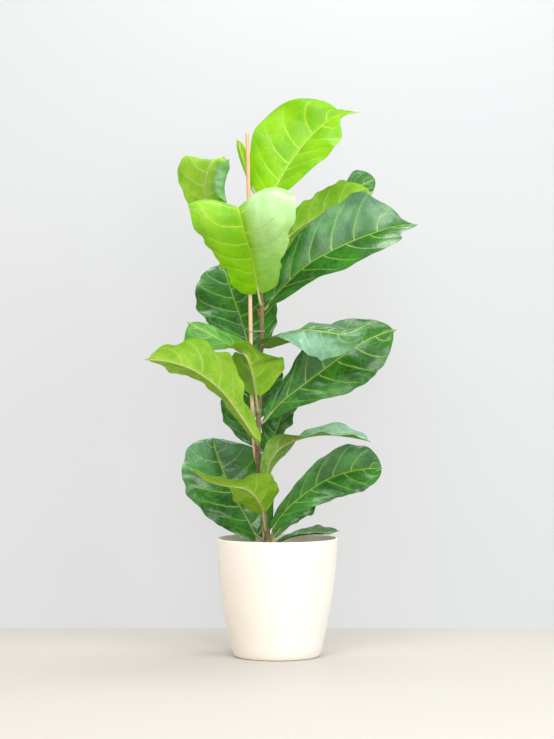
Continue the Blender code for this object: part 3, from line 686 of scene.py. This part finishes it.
def sheath_material():
    """Dry, papery, red-brown sheath scale with long fibres."""
    g = Graph("stipule_paper")
    fibre = g.noise(g.stretch(g.here(), (1.0, 1.0, 0.15)), 1100.0, 4.0, 0.6)
    colour = g.mix(g.step(fibre, 0.3, 0.7), (0.15, 0.045, 0.020), (0.36, 0.17, 0.08))
    rough = g.math("MULTIPLY_ADD", fibre, 0.2, 0.6)
    return g.surface(colour, rough, g.bump(fibre, 0.0004, 0.8))


def tie_material():
    """Olive-tan plastic-coated wire."""
    g = Graph("tie_plastic")
    mottle = g.noise(g.here(), 600.0, 3.0)
    colour = g.mix(g.step(mottle, 0.35, 0.7), (0.36, 0.35, 0.20), (0.46, 0.44, 0.28))
    rough = g.math("MULTIPLY_ADD", mottle, 0.2, 0.35)
    return g.surface(colour, rough, g.bump(mottle, 0.0002, 0.5))


# ---------------------------------------------------------------- the pieces


def stem_point(height):
    """The stem's axis and radius at a height."""
    axis = np.array(STEM_AXIS)
    centre = np.array([np.interp(height, axis[:, 2], axis[:, 0]), 0.0, height])
    part = (height - axis[0, 2]) / (axis[-1, 2] - axis[0, 2])
    return centre, STEM_RADIUS_LOW + (STEM_RADIUS_TOP - STEM_RADIUS_LOW) * part


def leaf_piece(number, row, materials):
    """A leaf: a thin closed blade, and a stalk that runs on under it as the midrib."""
    fine = np.linspace(-1, 1, LEAF_COLUMNS)
    columns = np.sign(fine) * np.abs(fine) ** 1.3
    rows = 0.5 - 0.5 * np.cos(np.pi * np.linspace(0.02, 0.995, LEAF_ROWS))
    points, vein, across, distance, v = blade(row, rows, columns)
    half = (BLADE_THICKNESS / 2 * (1 - 0.45 * np.abs(v) ** 3))[..., None]
    thin, normal, upper_faces, under_faces = sheet(points, half)
    stalk, stalk_faces, browning = stalk_tube(row, normal[:, LEAF_COLUMNS // 2], rows)
    verts = np.vstack([thin, stalk])
    faces = upper_faces + under_faces + [tuple(k + len(thin) for k in face) for face in stalk_faces]
    indices = [0] * len(upper_faces) + [1] * len(under_faces) + [2] * len(stalk_faces)
    sides = [materials["upper"], materials["under"], materials["rib"]]
    obj = new_object("fig_leaf_%02d" % number, verts, faces, sides, indices, sharp=40)
    seed = 0.37 * number
    place = np.stack([distance + seed, across + 0.21 * number, 0 * across], -1).reshape(-1, 3)
    veins = np.stack([vein, across * 1000, np.abs(v)], -1).reshape(-1, 3)
    rib_veins = np.stack([browning, 0 * browning, 0 * browning], -1)
    set_vectors(obj, "place", np.vstack([place, place, stalk]))
    set_vectors(obj, "vein", np.vstack([veins, veins, rib_veins]))
    # Painted sheen amounts along each half, standing in for highlights, stored on each vertex.
    left, right = PAINTED_SHEEN.get(number, ((0,), (0,)))
    run = distance / distance.max()
    sheen_amount = np.where(v >= 0, along(left, run), along(right, run))
    sheen_amount = (sheen_amount * ease(0.0, 0.3, np.abs(v))).reshape(-1, 1) * np.array([1.0, 0.0, 0.0])
    set_vectors(obj, "painted_sheen", np.vstack([sheen_amount, 0 * sheen_amount, 0 * rib_veins]))
    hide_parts("leaf_%02d" % number)
    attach(obj, "root")


def stalk_tube(row, normals, rows):
    """The stalk from inside the stem to the blade, then tapering away under the midrib."""
    centre, stem_radius = stem_point(row["node_height"])
    rib, _ = smooth_path(row["midrib"], RIB_STEPS)
    out = rib[0] - centre
    out[2] = 0.0
    out = unit(out)
    thick = min(1.0, 0.45 + row["half_width"] * 9)
    inside = centre + out * stem_radius * 0.3
    clear = centre + out * (stem_radius + 0.003)
    lead, _ = smooth_path((inside, clear, rib[0]), LEAD_STEPS)
    fractions = np.linspace(0, 0.86, 42)[1:]
    under = np.stack([np.interp(fractions, rows, normals[:, k]) for k in range(3)], 1)
    on_rib = np.stack([np.interp(fractions, np.linspace(0, 1, RIB_STEPS), rib[:, k]) for k in range(3)], 1)
    rib_radii = thick * (0.0019 * (1 - fractions / 0.9) ** 0.8 + 0.00012)
    on_rib = on_rib - unit(under) * (rib_radii * 0.55 + 0.0009 * (1 - ease(0.5, 1.0, fractions)))[:, None]
    run = np.linspace(0, 1, LEAD_STEPS)
    lead_radii = thick * (0.0021 + 0.0009 * np.exp(-(run / 0.16) ** 2) + 0.0002 * run)
    path = np.vstack([lead[:-1], on_rib])
    radii = np.concatenate([lead_radii[:-1], rib_radii])
    verts, faces = tube(path, radii, sides=RIB_SIDES)
    brown = np.concatenate([ease(0.35, 0.0, run[:-1]), 0 * fractions])
    browning = np.concatenate([np.repeat(brown, RIB_SIDES), [1.0, 0.0]])
    return verts, faces, browning


def pot_piece():
    """The cover pot, turned finely, with a softly rounded rim and foot."""
    rim, rim_height = POT_OUTER[0]
    wall, _ = smooth_path(POT_OUTER, count=40)
    inside = [(inner_radius(h), h) for h in (0.012, *INNER_HEIGHTS)] + [(rim - POT_WALL, rim_height)]
    inside, _ = smooth_path(inside, count=30)
    profile = [(0.0, POT_FLOOR), (inner_radius(0.010) - 0.006, POT_FLOOR), *map(tuple, inside)]
    middle = rim - POT_WALL / 2
    for k in range(1, RIM_STEPS):
        angle = math.pi * (1 - k / RIM_STEPS)
        height = rim_height + (POT_HEIGHT - rim_height) * math.sin(angle)
        profile.append((middle + POT_WALL / 2 * math.cos(angle), height))
    profile += list(map(tuple, wall))
    foot, _ = smooth_path((wall[-1], FOOT_CURVE, (FOOT_RADIUS, 0.0)), count=8)
    profile += list(map(tuple, foot[1:])) + [(0.0, 0.0)]
    obj = turned("cover_pot", profile, pot_material(), steps=168, sharp=50)
    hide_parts("pot")
    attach(obj, "root")


def inner_radius(height):
    """The radius of the pot's inside wall at a height."""
    heights = [h for _, h in reversed(POT_OUTER)]
    radii = [r for r, _ in reversed(POT_OUTER)]
    return float(np.interp(height, heights, radii)) - POT_WALL


def soil_piece():
    """Potting mix with a lumpy top and loose crumbs on it."""
    steps, rings = 120, 44
    edge = inner_radius(SOIL_EDGE_TOP) - CLEARANCE
    verts = []
    for i in range(1, rings + 1):
        flat = 1 - ease(0.93, 1.0, i / rings)
        for x, y, _ in circle(edge * i / rings, 0.0, steps):
            lumps = noise.fractal((x * 70, y * 70, 3.1), 0.9, 2.1, 5) * 0.0016
            lumps += noise.noise((x * 18, y * 18, 0)) * 0.0015
            verts.append((x, y, SOIL_TOP - 0.0015 - 0.0015 * (i / rings) ** 2 + lumps * flat))
    faces = grid_faces(rings, steps, wrap=True)
    centre = len(verts)
    verts.append((0, 0, SOIL_TOP - 0.0015))
    faces += [(centre, j, (j + 1) % steps) for j in range(steps)]
    start = len(verts)
    depths = [*reversed(INNER_HEIGHTS), 0.013]
    for height in depths:
        verts += circle(inner_radius(height) - CLEARANCE, height, steps)
    outer = (rings - 1) * steps
    for j in range(steps):
        k = (j + 1) % steps
        faces.append((outer + j, start + j, start + k, outer + k))
    faces += grid_faces(len(depths), steps, start=start, wrap=True)
    bottom = start + (len(depths) - 1) * steps
    faces.append(tuple(bottom + j for j in reversed(range(steps))))
    rng = np.random.default_rng(SOIL_SEED)
    for _ in range(CRUMBS):
        radius, angle = edge * 0.94 * math.sqrt(rng.random()), rng.random() * 2 * math.pi
        size = rng.uniform(*CRUMB_SIZES)
        place = (radius * math.cos(angle), radius * math.sin(angle), SOIL_TOP - 0.0012)
        crumb(verts, faces, place, size, rng)
    obj = new_object("potting_mix", verts, faces, [soil_material()], sharp=60)
    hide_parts("soil")
    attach(obj, "root")


def crumb(verts, faces, place, size, rng):
    """Add one uneven crumb to a mesh."""
    golden = (1 + math.sqrt(5)) / 2
    corners = [(-1, golden, 0), (1, golden, 0), (-1, -golden, 0), (1, -golden, 0),
               (0, -1, golden), (0, 1, golden), (0, -1, -golden), (0, 1, -golden),
               (golden, 0, -1), (golden, 0, 1), (-golden, 0, -1), (-golden, 0, 1)]
    triangles = [(0, 11, 5), (0, 5, 1), (0, 1, 7), (0, 7, 10), (0, 10, 11),
                 (1, 5, 9), (5, 11, 4), (11, 10, 2), (10, 7, 6), (7, 1, 8),
                 (3, 9, 4), (3, 4, 2), (3, 2, 6), (3, 6, 8), (3, 8, 9),
                 (4, 9, 5), (2, 4, 11), (6, 2, 10), (8, 6, 7), (9, 8, 1)]
    start = len(verts)
    stretch = rng.uniform(0.55, 1.25, 3) * (1.3, 1.0, 0.55)
    turn = rng.random() * 2 * math.pi
    for corner in corners:
        x, y, z = np.array(corner) / 1.9 * stretch * size * rng.uniform(0.8, 1.15)
        verts.append((place[0] + x * math.cos(turn) - y * math.sin(turn),
                      place[1] + x * math.sin(turn) + y * math.cos(turn), place[2] + z))
    faces += [tuple(start + k for k in triangle) for triangle in triangles]


def stem_piece():
    """The main stem, swollen and ringed where each leaf leaves it, with a pointed bud on top."""
    points, _ = smooth_path(STEM_AXIS, count=420)
    heights = points[:, 2]
    radii = np.array([stem_point(h)[1] for h in heights])
    for row in LEAVES:
        gap = heights - row["node_height"]
        radii += 0.0007 * np.exp(-(gap / 0.0035) ** 2) - 0.0003 * np.exp(-((gap - 0.0055) / 0.0018) ** 2)
    radii += 0.0016 * np.exp(-(heights - heights[0]) / 0.008)
    verts, faces = tube(points, radii, sides=STEM_SIDES)
    for k in range(len(points) * STEM_SIDES):
        axis = points[k // STEM_SIDES]
        p = Vector(verts[k])
        rough = 1 + 0.07 * noise.noise(p * 220) + 0.05 * noise.noise(Vector((p.x * 900, p.y * 900, p.z * 90)))
        verts[k] = axis + (verts[k] - axis) * rough
    obj = new_object("main_stem", verts, faces, [bark_material()], sharp=60)
    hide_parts("stem")
    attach(obj, "root")
    tip = points[-1]
    rise = np.linspace(BUD_HEIGHTS[0], BUD_HEIGHTS[-1], BUD_STEPS)
    radii = np.interp(rise, BUD_HEIGHTS, BUD_RADII)
    path = [(tip[0] - 0.1 * h, 0.0, tip[2] + h) for h in rise]
    verts, faces = tube(path, radii, sides=BUD_SIDES)
    obj = new_object("tip_bud", verts, faces, [rib_material("young")])
    set_vectors(obj, "place", verts)
    set_vectors(obj, "vein", [(0.4 * (1 - (k // BUD_SIDES) / BUD_STEPS), 0, 0) for k in range(len(verts))])
    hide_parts("bud")
    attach(obj, "root")


def cane_piece():
    """The support cane: a slim stick with slight joints and a bevelled top."""
    path, _ = smooth_path(CANE_AXIS, count=400)
    rise = np.concatenate([np.linspace(0, 0.9985, 300), [0.9993, 1.0]])
    points = np.stack([along(path[:, k], rise) for k in range(3)], 1)
    radii = CANE_RADIUS * (1 + 0.02 * np.sin(rise * 61) + 0.015 * np.sin(rise * 23 + 1))
    for joint in CANE_JOINTS:
        radii += 0.0003 * np.exp(-((rise - joint) / 0.004) ** 2)
    radii[-2] *= 0.93
    radii[-1] *= 0.80
    verts, faces = tube(points, radii, sides=20)
    obj = new_object("support_cane", verts, faces, [cane_material()], sharp=50)
    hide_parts("cane")
    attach(obj, "root")


def tie_piece(number, height, mat):
    """A twist of coated wire round the stem and the cane."""
    stem, stem_radius = stem_point(height)
    axis = np.array(CANE_AXIS)
    cane = np.array([np.interp(height, axis[:, 2], axis[:, k]) for k in range(3)])
    gap = TIE_WIRE + TIE_GAP
    lean = math.atan2(stem[1] - cane[1], stem[0] - cane[0])
    points = []
    for side, (centre, radius) in enumerate(((stem, stem_radius + gap), (cane, CANE_RADIUS + gap))):
        for k in range(TIE_HALF_TURN_STEPS + 1):
            angle = lean - math.pi / 2 + math.pi * (side + k / TIE_HALF_TURN_STEPS)
            x = centre[0] + radius * math.cos(angle)
            y = centre[1] + radius * math.sin(angle)
            points.append((x, y, height))
    points = np.array(points + points[:1])
    path, _ = smooth_path(points, count=120)
    path = path[:-1]
    sides = 12
    tangents = unit(np.roll(path, -1, 0) - np.roll(path, 1, 0))
    up = np.array([0.0, 0.0, 1.0])
    angles = np.linspace(0, 2 * np.pi, sides, endpoint=False)
    outward = np.cross(tangents, up)
    verts = np.vstack([p + TIE_WIRE * (np.cos(angles)[:, None] * o + np.sin(angles)[:, None] * up)
                       for p, o in zip(path, outward)])
    count = len(path)
    faces = []
    for i in range(count):
        for j in range(sides):
            n, k = (i + 1) % count, (j + 1) % sides
            faces.append((i * sides + j, i * sides + k, n * sides + k, n * sides + j))
    obj = new_object("wire_tie_%d" % number, verts, faces, [mat])
    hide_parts("tie_%d" % number)
    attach(obj, "root")


def stipule_piece(number, height, facing, mat):
    """A dry sheath scale with a frayed, curling tip."""
    centre, stem_radius = stem_point(height)
    angle = math.radians(facing)
    out = np.array([math.cos(angle), math.sin(angle), 0.0])
    up = np.array([0.0, 0.0, 1.0])
    base = centre + out * (stem_radius + STIPULE_GAP)
    middle = base + up * STIPULE_LENGTH * 0.5 + out * 0.0012
    tip = base + up * STIPULE_LENGTH + out * 0.0040
    row = leaf(height, facing, STIPULE_HALF_WIDTH, (base, middle, tip), outline="oval", fold=(38, 30),
               wave=0.0, sweep=0.0, quilt=0.0)
    rows = np.linspace(0.05, 0.98, num=30)
    points, _, _, _, v = blade(row, rows, np.linspace(-1, 1, num=15))
    points += 0.0005 * np.sin(rows * 23)[:, None, None] * np.abs(v)[..., None] * out
    verts, _, upper_faces, under_faces = sheet(points, STIPULE_HALF_THICKNESS)
    obj = new_object("sheath_%d" % number, verts, upper_faces + under_faces, [mat], sharp=50)
    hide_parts("stipule_%d" % number)
    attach(obj, "root")


LEAF_MATERIALS = {
    age: {
        "upper": leaf_material(age, "upper"),
        "under": leaf_material(age, "under"),
        "rib": rib_material(age),
    }
    for age in LEAF_COLOURS
}
pot_piece()
soil_piece()
stem_piece()
cane_piece()
for index, row in enumerate(LEAVES, start=1):
    leaf_piece(index, row, LEAF_MATERIALS[row["age"]])
tie_wire = tie_material()
for index, height in enumerate(TIE_HEIGHTS, start=1):
    tie_piece(index, height, tie_wire)
sheath = sheath_material()
for index, (height, facing) in enumerate(STIPULES, start=1):
    stipule_piece(index, height, facing, sheath)

# ---------------------------------------------------------------- floor, backdrop, light and camera

# Sensor size and focal length are in millimetres.
SENSOR_SIZE = 36.0
FOCAL_LENGTH = 106.295
CAMERA_DISTANCE = 3.60
CAMERA_HEIGHT = 0.472
WALL_Y = 0.385
WALL_HALF_WIDTH = 3.0
WALL_HEIGHT = 3.2
FLOOR_Z = -0.0003
FLOOR_CORNERS = ((-4, -6, FLOOR_Z), (4, -6, FLOOR_Z), (4, 4, FLOOR_Z), (-4, 4, FLOOR_Z))
WALL_CORNERS = ((-WALL_HALF_WIDTH, WALL_Y, FLOOR_Z), (WALL_HALF_WIDTH, WALL_Y, FLOOR_Z),
                (WALL_HALF_WIDTH, WALL_Y, WALL_HEIGHT), (-WALL_HALF_WIDTH, WALL_Y, WALL_HEIGHT))
GLOW_COLOUR = (0.965, 0.983, 1.0, 1.0)

# Name, place, target, size in metres, power in watts, colour, and whether glossy surfaces mirror it.
LIGHTS = (
    ("key", (1.7, -1.9, 1.5), (0, 0, 0.4), 1.3, 40, (1.0, 0.985, 0.96), True),
    ("front", (0.3, -3.0, 0.75), (0, 0, 0.35), 1.2, 20, (1.0, 0.99, 0.97), True),
    ("window", (-0.25, -1.3, 2.0), (0, 0, 0.55), 0.9, 24, (0.88, 0.95, 1.0), True),
    ("rear_top", (0.2, 0.27, 1.75), (0, -0.02, 0.5), 0.7, 15, (1.0, 1.0, 0.95), True),
    ("warm_fill", (-1.5, -1.3, 0.25), (0, 0, 0.10), 0.9, 9, (1.0, 0.62, 0.32), False),
)


def stage_material(name, colour, one_sided=False, glow=0.0):
    """A plain matte surface that may glow; one-sided surfaces vanish when seen from behind."""
    g = Graph(name)
    soft = g.noise(g.here(), 3.0, 2.0)
    tint = g.mix(soft, colour, tuple(c * 1.02 for c in colour))
    shader = g.add("BsdfPrincipled", {"Base Color": tint, "Roughness": 0.6, "Emission Color": GLOW_COLOUR,
                                      "Emission Strength": glow}).outputs[0]
    if one_sided:
        back = g.add("NewGeometry").outputs["Backfacing"]
        clear = g.add("BsdfTransparent").outputs[0]
        shader = g.add("MixShader", {0: back, 1: shader, 2: clear}).outputs[0]
    return g.finish(shader)


def stage_plane(name, corners, mat):
    """A flat stage surface."""
    obj = new_object(name, corners, [(0, 1, 2, 3)], [mat])


stage_plane("floor", FLOOR_CORNERS, stage_material("stage_floor", (0.585, 0.55, 0.505)))
stage_plane("backdrop", WALL_CORNERS,
            stage_material("stage_wall", (0.22, 0.223, 0.227), one_sided=True, glow=0.485))


def area_light(name, place, target, size, power, colour, mirrored):
    """A square soft light aimed at a point."""
    light = bpy.data.lights.new(name, "AREA")
    light.shape = "SQUARE"
    light.size = size
    light.energy = power
    light.color = colour
    obj = bpy.data.objects.new(name, light)
    obj.location = place
    obj.visible_glossy = mirrored
    obj.rotation_euler = (Vector(target) - Vector(place)).to_track_quat("-Z", "Y").to_euler()
    bpy.context.scene.collection.objects.link(obj)


for light_values in LIGHTS:
    area_light(*light_values)

world = bpy.data.worlds.new("studio")
world.use_nodes = True
background = world.node_tree.nodes["Background"]
background.inputs["Color"].default_value = (0.95, 0.97, 1.0, 1.0)
background.inputs["Strength"].default_value = 0.45
bpy.context.scene.world = world
bpy.context.scene.view_settings.view_transform = "Standard"

camera_data = bpy.data.cameras.new("camera")
camera_data.sensor_width = SENSOR_SIZE
camera_data.lens = FOCAL_LENGTH
camera = bpy.data.objects.new("camera", camera_data)
camera.location = (0.0, -CAMERA_DISTANCE, CAMERA_HEIGHT)
camera.rotation_euler = (math.pi / 2, 0.0, 0.0)
bpy.context.scene.collection.objects.link(camera)
bpy.context.scene.camera = camera
